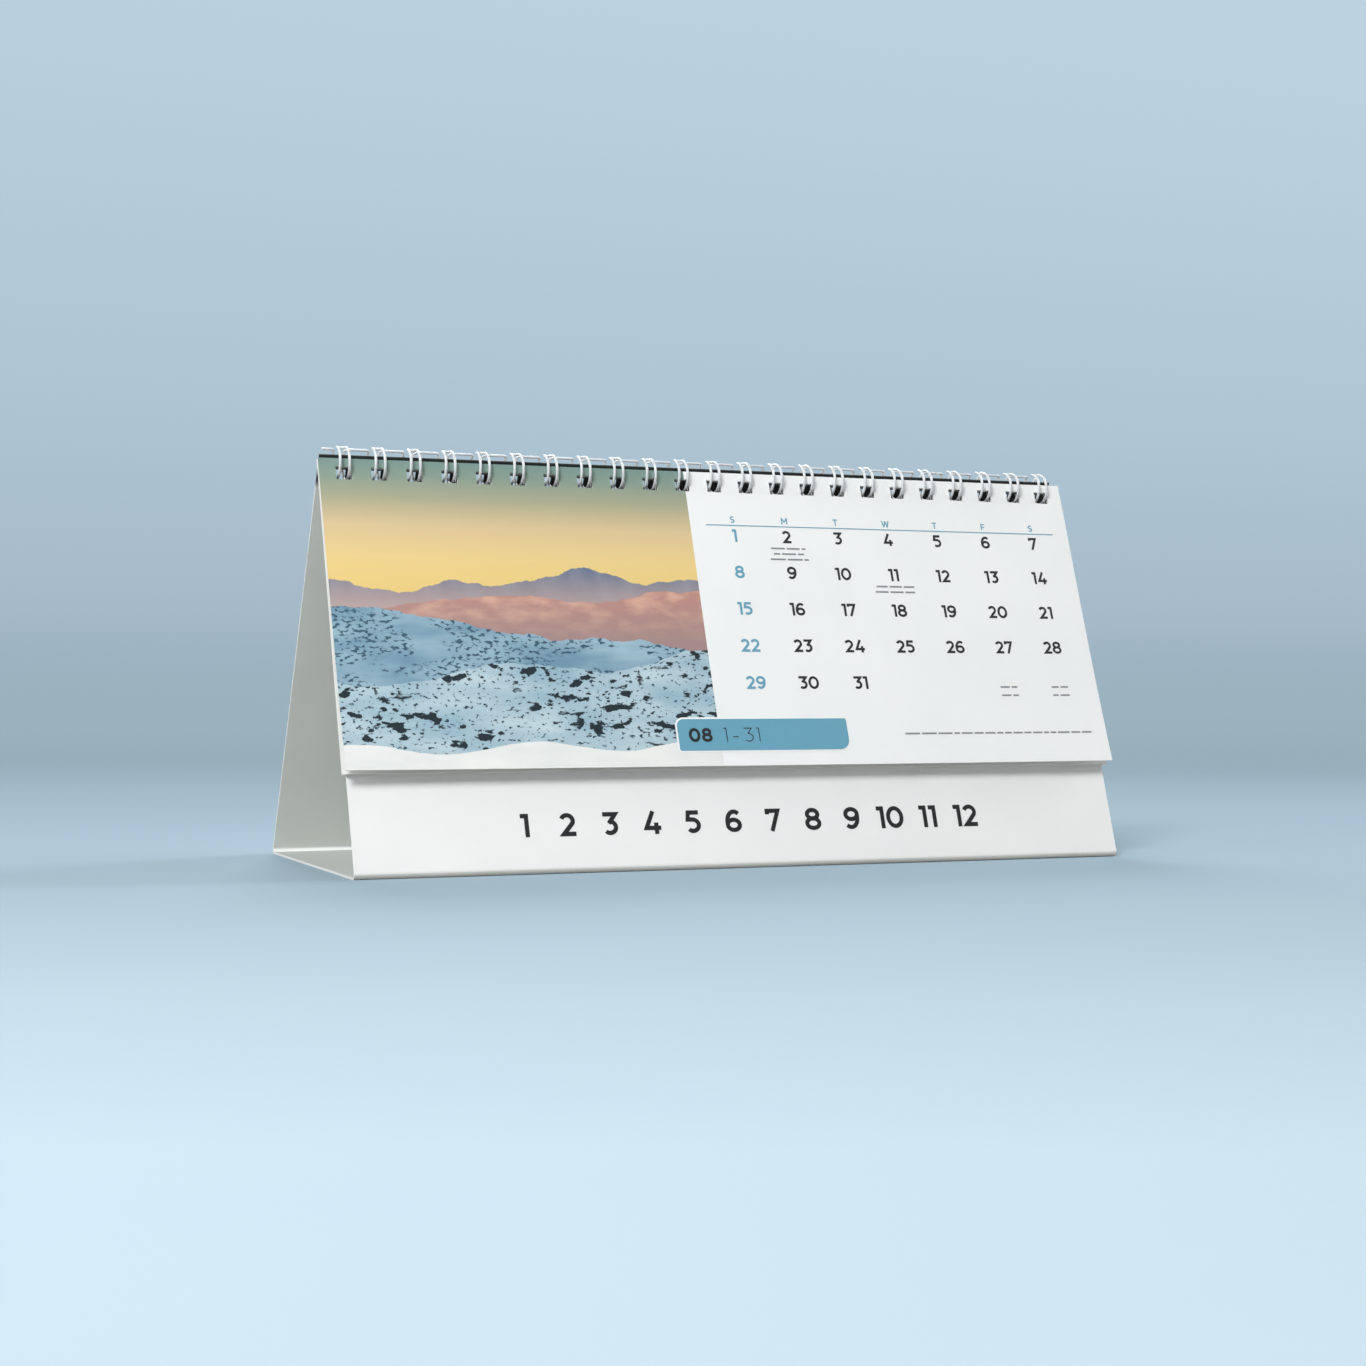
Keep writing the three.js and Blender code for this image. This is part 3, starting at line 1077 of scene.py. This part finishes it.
@dataclass(frozen=True)
class PlainType:
    """Plain round figures drawn as strokes of one weight, with the cap height as the unit."""

    weight: float
    gap: float = 0.1
    space: float = 0.32
    sharpest: float = 0.38

    def advance(self, sign: str) -> float:
        """How far the line moves on after a sign."""
        return self.space if sign == " " else SIGN_WIDTHS[sign] + self.gap

    def width(self, text: str) -> float:
        """The width of a line."""
        return sum(self.advance(sign) for sign in text) - self.gap

    def strokes(self, sign: str) -> list[tuple[Outline, bool]]:
        """Draws the centre lines of a sign.

        Args:
            sign: the sign.

        Returns:
            Each line with whether it closes on itself.
        """
        # Every number here is a place on the sign, in cap heights.
        half, wide = self.weight / 2, SIGN_WIDTHS[sign]
        low, top, left, right, mid = half, 1 - half, half, wide - half, wide / 2
        bowl_top = 0.6
        bowl_middle, bowl_rise = (bowl_top + low) / 2, (bowl_top - low) / 2
        bowl = arc((0.32, bowl_middle), (right - 0.32, bowl_rise), 90, -90)
        tail = arc((0.32, bowl_middle), (0.32 - left, bowl_rise), -90, -138)[1:]
        waist = 0.525
        loop = arc((mid, 0.32), (mid - half, 0.32 - half), 0, 360)[:-1]
        neck = arc((mid + 0.05, 0.46), (mid + 0.05 - half, top - 0.46), 52, 180) + [(left, 0.32)]
        curve = (0.5 - half) / 2
        match sign:
            case "0":
                return [(arc((mid, 0.5), (mid - half, 0.5 - half), 0, 360)[:-1], True)]
            case "1":
                flag = wide - self.weight - 0.17
                return [([(flag, top), (right, top), (right, 0.0)], False)]
            case "2":
                radius = mid - half
                head = arc((mid - 0.01, top - radius * 0.95), (radius, radius * 0.95), 158, -28)
                return [(head + [(left + 0.06, low), (wide, low)], False)]
            case "3":
                flag = [(0.05, top), (wide - 0.09, top), (0.3, bowl_top - half)]
                return [(flag, False), (bowl + tail, False)]
            case "4":
                arm = [(0.5, 1.0), (left + 0.06, 0.27), (wide, 0.27)]
                return [(arm, False), ([(0.61, 0.5), (0.61, 0.0)], False)]
            case "5":
                return [([(wide - 0.07, top), (0.17, top), (0.13, bowl_top)] + bowl + tail, False)]
            case "6":
                return [(loop, True), (neck, False)]
            case "7":
                return [([(left, 0.75), (left, top), (right - 0.02, top), (0.25, 0.0)], False)]
            case "8":
                upper = arc((mid, (waist + top) / 2), (mid - half - 0.04, (top - waist) / 2), 0, 360)[:-1]
                lower = arc((mid, (waist + low) / 2), (mid - half, (waist - low) / 2), 0, 360)[:-1]
                return [(upper, True), (lower, True)]
            case "9":
                turned = ((loop, True), (neck, False))
                return [([(wide - x, 1 - y) for x, y in line], closed) for line, closed in turned]
            case "-":
                return [([(0.0, 0.36), (wide, 0.36)], False)]
            case "S":
                head = arc((mid, 0.5 + curve), (mid - half, curve), 38, 270)
                return [(head + arc((mid, 0.5 - curve), (mid - half, curve), 90, -142)[1:], False)]
            case "M":
                sides = [([(left, 0.0), (left, 1.0)], False), ([(right, 0.0), (right, 1.0)], False)]
                return sides + [([(left, 0.97), (mid, 0.3)], False), ([(right, 0.97), (mid, 0.3)], False)]
            case "T":
                return [([(0.0, top), (wide, top)], False), ([(mid, top), (mid, 0.0)], False)]
            case "W":
                feet = ((0.05, 1.0), (0.3, 0.02), (mid, 0.97), (wide - 0.3, 0.02), (wide - 0.05, 1.0))
                return [([a, b], False) for a, b in zip(feet, feet[1:])]
            case _:
                stem = ([(left, 0.0), (left, 1.0)], False)
                arms = [([(left, top), (wide, top)], False), ([(left, 0.47), (wide - 0.06, 0.47)], False)]
                return [stem] + arms

    def ribbon(self, line: Outline, closed: bool) -> list[Outline]:
        """Cuts the area that a stroke of this weight covers into four-cornered pieces.

        Args:
            line: the stroke's centre line.
            closed: whether it closes on itself.

        Returns:
            The pieces' corners.
        """
        points = [Vector(p) for p in line]
        count = len(points)
        sides = []
        for i, point in enumerate(points):
            ways = []
            if i or closed:
                ways.append((point - points[i - 1]).normalized())
            if i < count - 1 or closed:
                ways.append((points[(i + 1) % count] - point).normalized())
            normals = [Vector((-d.y, d.x)) for d in ways]
            across = sum(normals, Vector((0.0, 0.0))).normalized()
            reach = self.weight / 2 / max(across.dot(normals[0]), self.sharpest)
            sides.append((point + across * reach, point - across * reach))
        pieces = []
        for i in range(count if closed else count - 1):
            (a, b), (c, d) = sides[i], sides[(i + 1) % count]
            pieces.append([tuple(v) for v in (a, b, d, c)])
        return pieces

    @lru_cache(maxsize=None)
    def filled(self, sign: str) -> Filled:
        """Finds the whole area of a sign, with its strokes joined.

        Args:
            sign: the sign.

        Returns:
            Its points and its triangles, counter-clockwise.
        """
        corners: list[Vector] = []
        pieces = []
        for line, closed in self.strokes(sign):
            for piece in self.ribbon(line, closed):
                area = sum(a[0] * b[1] - a[1] * b[0] for a, b in zip(piece, piece[1:] + piece[:1]))
                ordered = piece if area > 0 else piece[::-1]
                pieces.append(list(range(len(corners), len(corners) + len(ordered))))
                corners += [Vector(p) for p in ordered]
        points, _, triangles, _, _, owners = delaunay_2d_cdt(corners, [], pieces, 0, 1e-5)
        inside = [tuple(t) for t, owner in zip(triangles, owners) if owner]
        used = sorted({i for t in inside for i in t})
        place = {old: new for new, old in enumerate(used)}
        return [tuple(points[i]) for i in used], [tuple(place[i] for i in t) for t in inside]


@dataclass(frozen=True)
class Line:
    """One line of figures or letters: its anchor, baseline, cap height, and weight as a share of that."""

    text: str
    x: float
    baseline: float
    cap: float
    align: Align
    weight: float


@dataclass
class Print:
    """Collects flat printed shapes on a face and turns them into one thin mesh of ink."""

    name: str
    face: FacePlane
    body: Body
    material: bpy.types.Material
    slot: str
    lift: float = 0.02
    thickness: float = 0.03
    corner_steps: int = 8
    outlines: list[Outline] = field(default_factory=list)
    lines: list[Line] = field(default_factory=list)

    def bar(self, left: float, top: float, width: float, height: float) -> None:
        """Adds a plain bar."""
        right, bottom = left + width, top + height
        self.outlines.append([(left, bottom), (right, bottom), (right, top), (left, top)])

    def panel(self, left: float, top: float, width: float, height: float, radii: Sequence[float]) -> None:
        """Adds a panel with its own radius at each corner.

        Args:
            left: its left edge.
            top: its top edge.
            width: its width.
            height: its height.
            radii: corner radii from the lower left, counter-clockwise.
        """
        right, bottom = left + width, top + height
        corners = ((left, bottom, 180), (right, bottom, 90), (right, top, 0), (left, top, 270))
        outline = []
        for (x, y, start), radius in zip(corners, radii):
            middle_x = x + radius if x == left else x - radius
            middle_y = y - radius if y == bottom else y + radius
            for step in range(self.corner_steps + 1):
                turn = math.radians(start - step * 90 / self.corner_steps)
                outline.append((middle_x + radius * math.cos(turn), middle_y + radius * math.sin(turn)))
        self.outlines.append(outline)

    def build(self) -> bpy.types.Object:
        """Builds the ink as closed thin shapes.

        Returns:
            The ink's piece.
        """
        ink = bmesh.new()
        for outline in self.outlines:
            self.add_outline(ink, outline)
        for line in self.lines:
            self.add_line(ink, line)
        mesh = bpy.data.meshes.new(self.name)
        ink.to_mesh(mesh)
        ink.free()
        mesh.materials.append(self.material)
        piece = link_object(self.name, mesh)
        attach(piece, self.body.value)
        return piece

    def levels(self, ink: bmesh.types.BMesh, points: Outline) -> list[list[bmesh.types.BMVert]]:
        """Lays points on the ink's under side and on its top.

        Args:
            ink: the mesh that is being built.
            points: their places on the face.

        Returns:
            The lower vertices and the upper ones.
        """
        heights = (self.lift, self.lift + self.thickness)
        return [[ink.verts.new(self.face.place(x, y, height)) for x, y in points] for height in heights]

    def add_outline(self, ink: bmesh.types.BMesh, outline: Outline) -> None:
        """Adds one closed flat shape with its thickness.

        Args:
            ink: the mesh that is being built.
            outline: the shape.
        """
        lower, upper = self.levels(ink, outline)
        faces = [ink.faces.new(upper), ink.faces.new(list(reversed(lower)))]
        for i in range(len(outline)):
            j = (i + 1) % len(outline)
            faces.append(ink.faces.new((lower[i], lower[j], upper[j], upper[i])))
        bmesh.ops.recalc_face_normals(ink, faces=faces)

    def add_line(self, ink: bmesh.types.BMesh, line: Line) -> None:
        """Adds one line of type as thin solid figures.

        Args:
            ink: the mesh that is being built.
            line: the line.
        """
        face = PlainType(line.weight)
        at = line.x - line.align.value * face.width(line.text) * line.cap
        for sign in line.text:
            if sign != " ":
                self.add_sign(ink, face.filled(sign), at, line.baseline, line.cap)
            at += face.advance(sign) * line.cap

    def add_sign(
        self, ink: bmesh.types.BMesh, filled: Filled, left: float, baseline: float, cap: float
    ) -> None:
        """Adds one sign: its two faces and the thin wall round them.

        Args:
            ink: the mesh that is being built.
            filled: the sign's points and triangles.
            left: its left edge on the face.
            baseline: its baseline on the face.
            cap: the height of its capitals.
        """
        points, triangles = filled
        lower, upper = self.levels(ink, [(left + x * cap, baseline - y * cap) for x, y in points])
        edges = {(t[i], t[(i + 1) % 3]) for t in triangles for i in range(3)}
        for triangle in triangles:
            ink.faces.new([upper[i] for i in triangle])
            ink.faces.new([lower[i] for i in reversed(triangle)])
        for a, b in sorted(edges):
            if (b, a) not in edges:
                ink.faces.new((lower[a], lower[b], upper[b], upper[a]))


@dataclass(frozen=True)
class Note:
    """Small print set as broken bars: its anchor, top, line step, the lines' widths and its seed."""

    x: float
    top: float
    step: float
    widths: tuple[float, ...]
    align: Align
    seed: int


@dataclass
class LeafPrint:
    """The month side of the front leaf: figures, weekday initials, rule, notes and month tab."""

    face: FacePlane
    grid_left: float = 102.6
    column_step: float = 14.07
    first_row: float = 18.45
    row_step: float = 9.56
    figure_cap: float = 3.3
    figure_weight: float = 0.185
    days: int = 31
    initials: str = "SMTWTFS"
    initials_baseline: float = 13.4
    initials_cap: float = 1.75
    initials_weight: float = 0.17
    rule_left: float = 95.4
    rule_right: float = 193.6
    rule_top: float = 13.95
    rule_height: float = 0.25
    tab: tuple[float, float, float, float] = (80.5, 64.3, 44.5, 7.9)
    tab_border: float = 0.45
    tab_radii: tuple[float, float, float, float] = (0.5, 2.6, 0.5, 1.8)
    tab_baseline: float = 5.75
    tab_cap: float = 3.5
    # What the tab says, how far in, and its weight.
    tab_lines: tuple[tuple[str, float, float], ...] = (("08", 2.7, 0.21), ("1 - 31", 11.2, 0.06))
    # Notes under two days, two more at the lower right, and the caption.
    notes: tuple[Note, ...] = (
        Note(116.67, 19.7, 1.45, (9.4, 8.2, 10.4), Align.CENTER, 0),
        Note(144.81, 29.3, 1.45, (10.6, 11.6), Align.CENTER, 5),
        Note(174.6, 55.95, 2.2, (4.8, 4.8), Align.RIGHT, 11),
        Note(189.4, 55.95, 2.2, (4.8, 4.8), Align.RIGHT, 13),
        Note(193.9, 68.1, 0.0, (53.2,), Align.RIGHT, 23),
    )
    dash_height: float = 0.42
    dash_gap: float = 0.55
    dash_lengths: tuple[float, float] = (1.3, 4.2)
    shortest_rest: float = 0.6

    def figures(self, dark: Print, blue: Print) -> None:
        """Sets the days, with the first column in blue.

        Args:
            dark: the ink of most days.
            blue: the ink of the first column.
        """
        for day in range(1, self.days + 1):
            row, column = divmod(day - 1, len(self.initials))
            x = self.grid_left + column * self.column_step
            y = self.first_row + row * self.row_step
            line = Line(str(day), x, y, self.figure_cap, Align.CENTER, self.figure_weight)
            (dark if column else blue).lines.append(line)

    def heading(self, blue: Print) -> None:
        """Sets the weekday initials and the rule under them.

        Args:
            blue: their ink.
        """
        for column, letter in enumerate(self.initials):
            x = self.grid_left + column * self.column_step
            place = (x, self.initials_baseline, self.initials_cap)
            blue.lines.append(Line(letter, *place, Align.CENTER, self.initials_weight))
        blue.bar(self.rule_left, self.rule_top, self.rule_right - self.rule_left, self.rule_height)

    def dashes(self, grey: Print, note: Note) -> None:
        """Sets a note as bars broken as small print is, in place of words.

        Args:
            grey: its ink.
            note: the note.
        """
        for index, width in enumerate(note.widths):
            draw = random.Random(note.seed + index)
            at = left = note.x - note.align.value * width
            while at < left + width - self.shortest_rest:
                length = min(draw.uniform(*self.dash_lengths), left + width - at)
                grey.bar(at, note.top + index * note.step, length, self.dash_height)
                at += length + self.dash_gap

    def month_tab(self, white: Print, blue: Print, dark: Print) -> None:
        """Sets the rounded tab with the month's number and its days.

        Args:
            white: the border round it.
            blue: the tab.
            dark: the figures on it.
        """
        left, top, width, height = self.tab
        rim = self.tab_border
        radii = [radius + rim for radius in self.tab_radii]
        white.panel(left - rim, top - rim, width + 2 * rim, height + 2 * rim, radii)
        blue.panel(left, top, width, height, self.tab_radii)
        for text, inset, weight in self.tab_lines:
            place = (left + inset, top + self.tab_baseline, self.tab_cap)
            dark.lines.append(Line(text, *place, Align.LEFT, weight))

    def build(self) -> list[bpy.types.Object]:
        """Builds the leaf's ink, one piece for each colour and layer.

        Returns:
            The pieces.
        """
        black = Ink("black_offset_ink", "17191c", "232629").build()
        blue = Ink("blue_offset_ink", "5d9ab3", "6aa4bb").build()
        grey = Ink("grey_offset_ink", "7b8084", "8c9195").build()
        white = Ink("white_offset_ink", "eff2f2", "e8ecec").build()
        own = (self.face, Body.LEAVES)
        slot = "printed_leaf"
        figures = Print("print_figures", *own, black, slot)
        accents = Print("print_accents", *own, blue, slot)
        notes = Print("print_notes", *own, grey, slot)
        border = Print("print_tab_border", *own, white, slot)
        tab = Print("print_tab", *own, blue, slot, lift=0.06)
        month = Print("print_month", *own, black, slot, lift=0.10)
        self.figures(figures, accents)
        self.heading(accents)
        for note in self.notes:
            self.dashes(notes, note)
        self.month_tab(border, tab, month)
        return [sheet.build() for sheet in (figures, accents, notes, border, tab, month)]


@dataclass
class FrontLeaf:
    """The printed leaf that shows: its sheet and all that is printed on it."""

    sheet: LeafSheet
    thickness: float = 0.2

    def build(self) -> list[bpy.types.Object]:
        """Builds the sheet, which stands for its solid, and its print.

        Returns:
            The sheet and the pieces of ink.
        """
        flat = FacePlane.of_node("front_leaf")
        face = BowedFace(flat.corner, flat.right, flat.down, flat.out)
        piece = self.sheet.build("printed_sheet", face, self.thickness, PrintedLeaf().build())
        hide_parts("front_leaf")
        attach(piece, Body.LEAVES.value)
        return [piece] + LeafPrint(face).build()


@dataclass
class Stand:
    """The folded card, and the plain row of month numbers along the foot of its front panel."""

    left: float = 40.4
    right: float = 154.4
    rise: float = 8.8
    cap: float = 5.5
    weight: float = 0.19
    months: int = 12

    def dress(self) -> bpy.types.Object:
        """Gives the stand its card, coated outside and bare inside.

        Returns:
            The stand.
        """
        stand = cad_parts["stand"]
        stand.data.materials.clear()
        stand.data.materials.append(FoldedCard().build())
        return stand

    def print_months(self) -> bpy.types.Object:
        """Prints the row of numbers.

        Returns:
            The ink's piece.
        """
        face = FacePlane.of_node("stand")
        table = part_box("stand")[0].z
        panel_length = (face.corner.z - table) / -face.down.z / MM
        black = Ink("black_headline_ink", "141517", "1e2023").build()
        strip = Print("print_month_strip", face, Body.STAND, black, "stand_card")
        for month in range(self.months):
            x = self.left + (self.right - self.left) * month / (self.months - 1)
            place = (x, panel_length - self.rise, self.cap)
            strip.lines.append(Line(str(month + 1), *place, Align.CENTER, self.weight))
        return strip.build()


@dataclass(frozen=True)
class SoftLamp:
    """One round soft lamp: where it hangs and looks in metres, how wide it is, and its watts."""

    name: str
    place: tuple[float, float, float]
    target: tuple[float, float, float]
    size: float
    power: float

    def hang(self) -> None:
        """Hangs the lamp in the scene."""
        data = bpy.data.lights.new(self.name, "AREA")
        data.shape = "DISK"
        data.size = self.size
        data.energy = self.power
        lamp = bpy.data.objects.new(self.name, data)
        lamp.location = self.place
        way = Vector(self.target) - Vector(self.place)
        lamp.rotation_euler = way.to_track_quat("-Z", "Y").to_euler()
        bpy.context.scene.collection.objects.link(lamp)


@dataclass(frozen=True)
class BackdropPaper:
    """Matt seamless paper, darker towards the back, that sends only neutral light on to the calendar."""

    name: str = "seamless_backdrop_paper"
    # Its place in the fade is the fade's length over the distance along its way from a line in front of
    # the calendar, in metres.
    fade_way: tuple[float, float, float] = (0.3836, 0.9235, 0.0)
    fade_start: float = 0.5915
    fade_length: float = 0.10965
    nearest: float = 0.05
    # Floor tones from far to near, each with the light that falls there.
    floor: tuple[tuple[float, str, float], ...] = (
        (0.0, "9fb6c3", 1.0),
        (0.09, "98aebb", 1.0),
        (0.15, "a0b6c4", 1.2),
        (0.23, "aec4d1", 1.4),
        (0.33, "c2d8e5", 1.49),
        (0.48, "d0e8f4", 1.56),
        (0.67, "d3e9f6", 1.60),
    )
    # Wall tones by height in metres, and the height over which the floor's tone turns into the wall's.
    wall: tuple[tuple[float, str], ...] = (
        (0.0, "99afbc"),
        (0.12, "a7bac9"),
        (0.33, "aec4d2"),
        (0.54, "b3cad8"),
        (0.75, "b9cfdd"),
        (1.0, "bdd3e1"),
    )
    wall_rise: float = 0.1
    # The share of the floor that shows shadows, and the fade's places between which that share ends.
    shadow_share: float = 0.85
    shadow_ends: tuple[float, float] = (0.17, 0.1)
    bounce: float = 0.4
    fibre_mm: float = 6.0
    tooth: float = 0.02
    tooth_mm: float = 0.1

    def build(self) -> bpy.types.Material:
        """Builds the material.

        Returns:
            The material.
        """
        material, tree = new_material(self.name)
        coords = add_node(tree, COORDS).outputs["Object"]
        way = add_node(tree, VECTOR_MATH, {0: coords, 1: self.fade_way}, operation="DOT_PRODUCT")
        depth = add_node(tree, MATH, {0: way.outputs["Value"], 1: self.fade_start}, operation="ADD")
        depth = add_node(tree, MATH, {0: depth, 1: self.nearest}, operation="MAXIMUM")
        near = add_node(tree, MATH, {0: self.fade_length, 1: depth}, operation="DIVIDE")
        height = add_node(tree, SPLIT, {0: coords}).outputs[2]
        floor = add_node(tree, RAMP, {0: near}, stops=[(place, tone) for place, tone, _ in self.floor])
        wall = add_node(tree, RAMP, {0: height}, stops=self.wall)
        dyes = []
        for place, tone, light in self.floor:
            dyes.append((place, [part / light for part in linear(tone)[:3]] + [1.0]))
        dye = add_node(tree, RAMP, {0: near}, stops=dyes)
        fibre = add_node(tree, NOISE, {"Vector": coords, "Scale": per_metre(self.fibre_mm), "Detail": 2.0})
        bump = add_node(tree, BUMP, {"Height": fibre, "Strength": self.tooth, "Distance": self.tooth_mm * MM})
        paper = add_node(tree, "ShaderNodeBsdfDiffuse", {"Color": dye, "Normal": bump})
        rise = add_node(tree, RANGE, {0: height, 1: 0.0, 2: self.wall_rise, 3: 0.0, 4: 1.0})
        tone = add_node(tree, MIX, {0: rise, 6: floor, 7: wall}, data_type="RGBA").outputs[2]
        glow = add_node(tree, "ShaderNodeEmission", {"Color": tone})
        start, end = self.shadow_ends
        far = add_node(tree, RANGE, {0: near, 1: start, 2: end, 3: 1.0 - self.shadow_share, 4: 1.0})
        seen = add_node(tree, "ShaderNodeMixShader", {0: far, 1: paper, 2: glow})
        grey = (self.bounce, self.bounce, self.bounce, 1.0)
        unseen = add_node(tree, "ShaderNodeBsdfDiffuse", {"Color": grey})
        rays = add_node(tree, "ShaderNodeLightPath").outputs
        mirrored = {0: rays["Is Glossy Ray"], 1: rays["Is Transmission Ray"]}
        mirrored = add_node(tree, MATH, mirrored, operation="MAXIMUM")
        ray = add_node(tree, MATH, {0: rays["Is Camera Ray"], 1: mirrored}, operation="MAXIMUM")
        both = add_node(tree, "ShaderNodeMixShader", {0: ray, 1: unseen, 2: seen})
        add_node(tree, "ShaderNodeOutputMaterial", {"Surface": both})
        return material


@dataclass
class Studio:
    """The pale blue sweep, the soft lamps and the camera."""

    lens: float = 62.14
    sensor: float = 36.0
    nearest_seen: float = 0.01
    camera_place: tuple[float, float, float] = (-229.85, -545.02, 46.53)
    camera_yaw: float = 0.39366
    camera_pitch: float = 0.00572
    camera_roll: float = 0.00374
    lamps: tuple[SoftLamp, ...] = (
        SoftLamp("key", (-0.5, -0.56, 0.74), (0.0, 0.0, 0.05), 0.36, 8.1),
        SoftLamp("right", (0.75, 0.05, 0.55), (0.0, 0.0, 0.05), 0.4, 4.2),
        SoftLamp("rear", (0.1, 0.7, 0.8), (0.0, 0.0, 0.05), 0.5, 7.3),
        SoftLamp("left", (-0.9, -0.15, 0.28), (-0.1, 0.0, 0.04), 0.4, 2.0),
    )
    room_tone: str = "eef0f0"
    room_light: float = 0.32
    # The sweep's sizes in metres.
    half_width: float = 8.0
    front: float = -12.0
    back: float = 1.6
    bend: float = 0.5
    bend_steps: int = 16
    top: float = 8.0
    level: float = -0.02 * MM

    def sweep(self) -> bpy.types.Object:
        """Builds floor and wall in one curved sheet.

        Returns:
            The sweep.
        """
        section = [(self.front, 0.0), (self.back, 0.0)]
        for step in range(1, self.bend_steps + 1):
            turn = step / self.bend_steps * math.pi / 2
            section.append((self.back + self.bend * math.sin(turn), self.bend * (1 - math.cos(turn))))
        section.append((self.back + self.bend, self.top))
        ends = (-self.half_width, self.half_width)
        points = [(x, y, z + self.level) for y, z in section for x in ends]
        faces = [(2 * i, 2 * i + 1, 2 * i + 3, 2 * i + 2) for i in range(len(section) - 1)]
        mesh = bpy.data.meshes.new("sweep")
        mesh.from_pydata(points, [], faces)
        mesh.materials.append(BackdropPaper().build())
        for polygon in mesh.polygons:
            polygon.use_smooth = True
        piece = link_object("sweep", mesh)
        return piece

    def world(self) -> None:
        """Gives the room its plain light."""
        world = bpy.data.worlds.new("studio")
        world.use_nodes = True
        inputs = world.node_tree.nodes["Background"].inputs
        inputs["Color"].default_value = linear(self.room_tone)
        inputs["Strength"].default_value = self.room_light
        bpy.context.scene.world = world

    def camera(self) -> None:
        """Sets the camera at the photograph's own place and angle."""
        data = bpy.data.cameras.new("camera")
        data.lens = self.lens
        data.sensor_width = self.sensor
        data.clip_start = self.nearest_seen
        camera = bpy.data.objects.new("camera", data)
        camera.location = Vector(self.camera_place) * MM
        flat = math.cos(self.camera_pitch)
        side, ahead = math.sin(self.camera_yaw) * flat, math.cos(self.camera_yaw) * flat
        view = Vector((side, ahead, -math.sin(self.camera_pitch))).to_track_quat("-Z", "Y")
        roll = Quaternion((0.0, 0.0, 1.0), self.camera_roll)
        camera.rotation_euler = (view @ roll).to_euler()
        bpy.context.scene.collection.objects.link(camera)
        bpy.context.scene.camera = camera

    def build(self) -> bpy.types.Object:
        """Builds the whole studio.

        Returns:
            The sweep.
        """
        self.camera()
        for lamp in self.lamps:
            lamp.hang()
        self.world()
        bpy.context.scene.view_settings.view_transform = "Standard"
        return self.sweep()


def main() -> None:
    """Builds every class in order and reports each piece."""
    logging.basicConfig(level=logging.INFO, format="%(name)s: %(message)s")
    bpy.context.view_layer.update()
    sheet = LeafSheet()
    stand = Stand()
    pieces = [Studio().build(), stand.dress(), Binding().build(), SheetStack(sheet).build()]
    pieces += FrontLeaf(sheet).build()
    pieces.append(stand.print_months())
    for piece in pieces:
        LOG.info("%s: %d faces", piece.name, len(piece.data.polygons))


if __name__ == "__main__":
    main()
